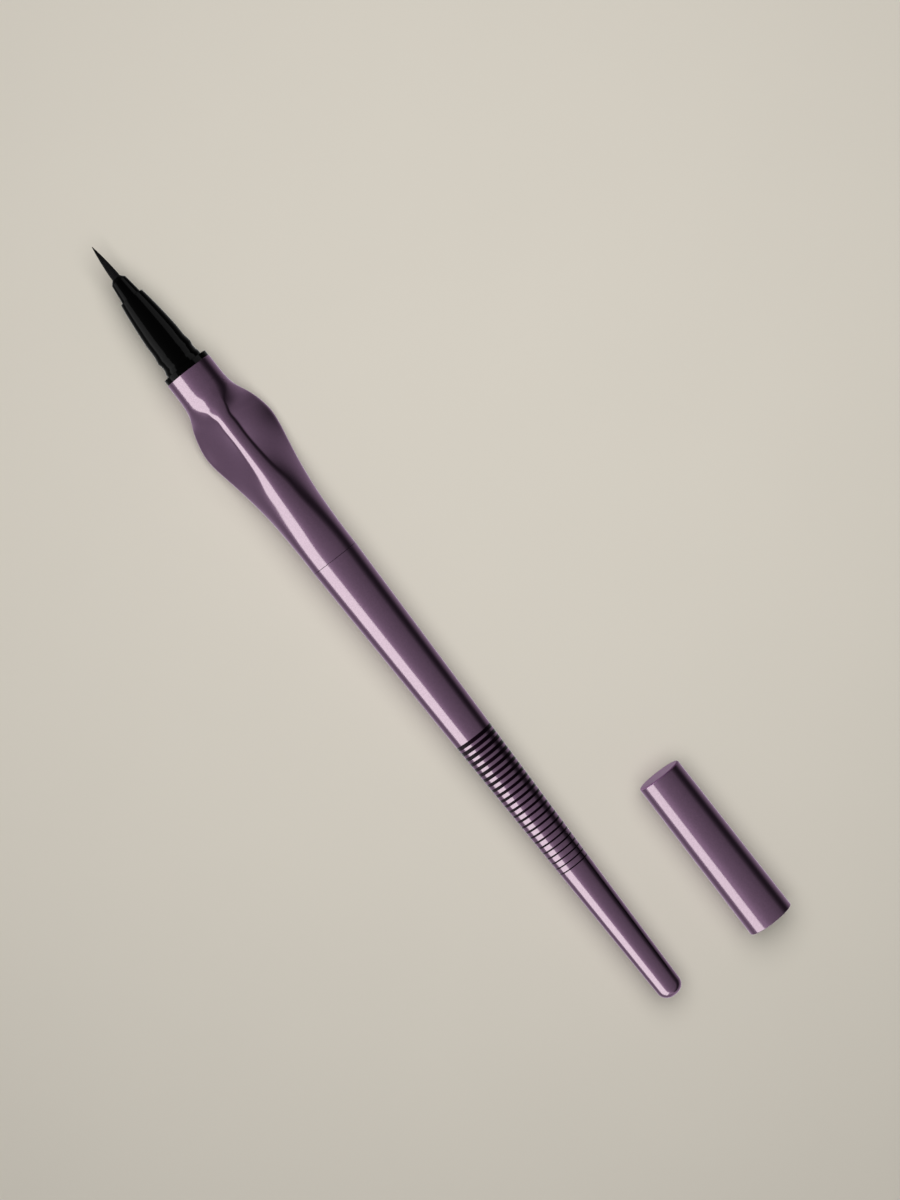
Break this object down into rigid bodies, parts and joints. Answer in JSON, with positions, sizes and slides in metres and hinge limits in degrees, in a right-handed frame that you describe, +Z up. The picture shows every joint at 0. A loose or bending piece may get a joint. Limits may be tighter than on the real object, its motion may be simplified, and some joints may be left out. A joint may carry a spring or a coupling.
{
  "type": "liquid eyeliner pen",
  "caption": "Liquid eyeliner pen with a fibre brush tip, a three-sided swelling grip, a tapered ringed handle and a cap that lies beside it.",
  "frame": {"origin": "on the pen's axis, at the shoulder where the cap's rim stops", "axes": "+X along the pen's axis towards the brush; +Z up, through the crest of the upper ridge of the grip"},
  "size_m": [0.161, 0.032, 0.0125],
  "materials": {
    "purple_lacquer": "metallised gloss lacquer",
    "black_plastic": "gloss",
    "brush_fibre": "inked fibres",
    "wick_fibre": "inked fibre core",
    "natural_plastic": "unpigmented moulding",
    "seal_plastic": "soft moulding",
    "steel": "polished"
  },
  "bodies": {
    "pen": {"brush_tip": "brush_fibre", "tip_holder": "black_plastic", "nose_cone": "black_plastic", "feed_wick": "wick_fibre", "ink_collector": "natural_plastic", "ink_tube": "natural_plastic", "tube_plug": "natural_plastic", "grip_sleeve": "purple_lacquer", "barrel": "purple_lacquer"},
    "ball": {"mixing_ball": "steel"},
    "cap": {"cap_shell": "purple_lacquer", "cap_liner": "black_plastic", "inner_cap_spring": "steel"},
    "seal": {"inner_cap": "seal_plastic"}
  },
  "joints": [
    {"name": "cap_pull", "type": "slide", "parent": "pen", "child": "cap", "axis": [1, 0, 0], "range_m": [0, 0.026]},
    {"name": "seal_press", "type": "slide", "parent": "cap", "child": "seal", "axis": [1, 0, 0], "range_m": [0, 0.0012], "stiffness_N_per_m": 150, "springref_m": -0.002, "deforming": ["inner_cap_spring"]},
    {"name": "ball_roll", "type": "slide", "parent": "pen", "child": "ball", "axis": [1, 0, 0], "range_m": [0, 0.039]}
  ]
}
